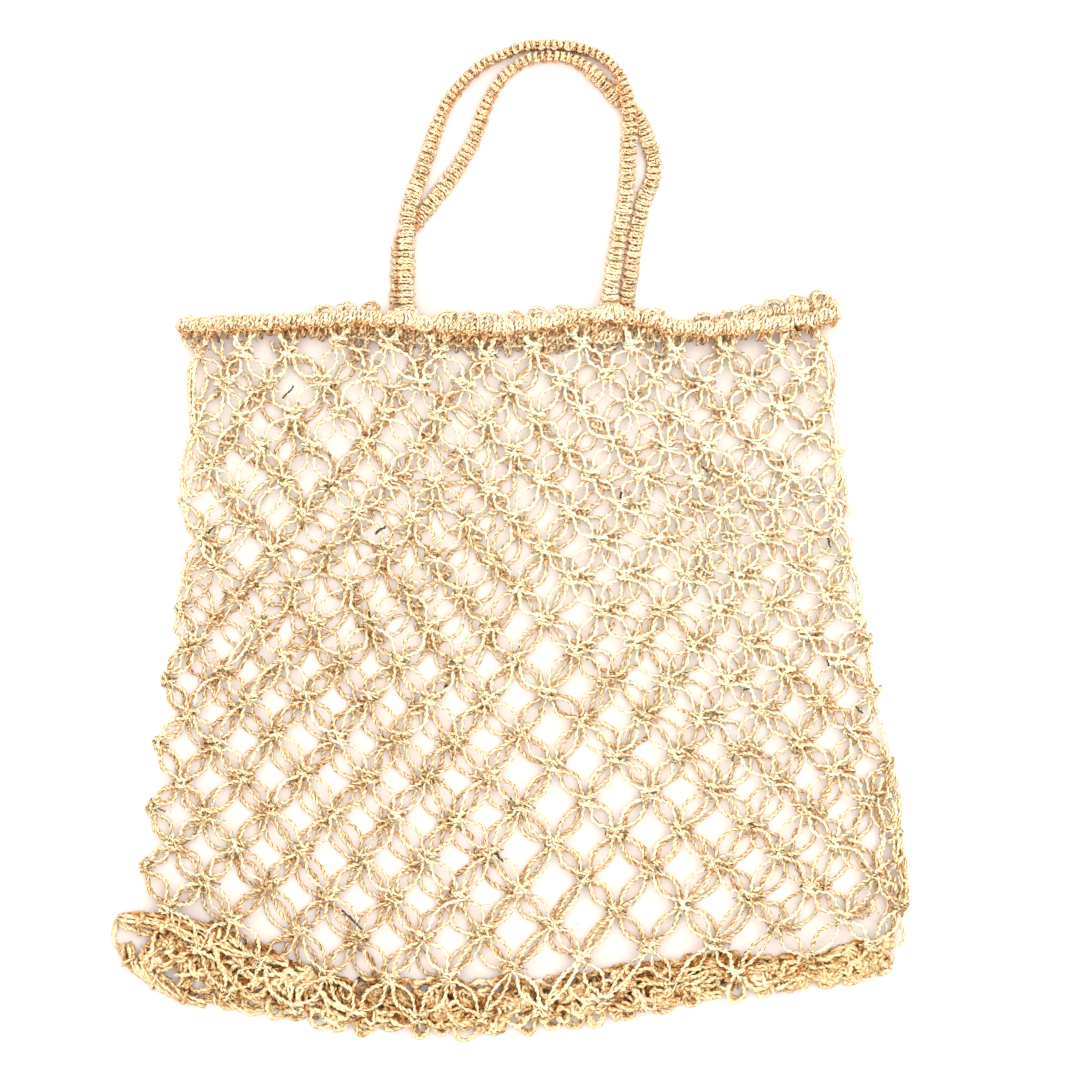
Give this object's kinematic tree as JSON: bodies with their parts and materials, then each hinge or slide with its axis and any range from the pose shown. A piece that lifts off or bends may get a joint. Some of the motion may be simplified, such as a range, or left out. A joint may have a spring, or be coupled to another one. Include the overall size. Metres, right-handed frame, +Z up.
{
  "type": "macrame market tote",
  "caption": "Flat-lying open net shopping bag of knotted straw cord, with wrapped heading bars, long knotted handles and a gathered base.",
  "frame": {"origin": "on the surface the bag lies on, below the middle of its whole outline", "axes": "+X to the bag's right as it is seen from above, +Y from the base towards the handles, +Z up"},
  "size_m": [0.4448, 0.5614, 0.0173],
  "materials": {
    "net_cord": "matt two-ply twisted straw cord",
    "net_cord_shade": "matt two-ply twisted straw cord, in shade",
    "bar_cord": "straw cord wrapped close over a core",
    "handle_cord": "straw cord in close square knots",
    "base_cord": "straw cord drawn together in dense loops"
  },
  "bodies": {
    "root": {"net_front": "net_cord", "net_back": "net_cord_shade", "header_front": "bar_cord", "header_back": "bar_cord", "handle_front": "handle_cord", "handle_back": "handle_cord", "base_gather": "base_cord"}
  },
  "joints": []
}
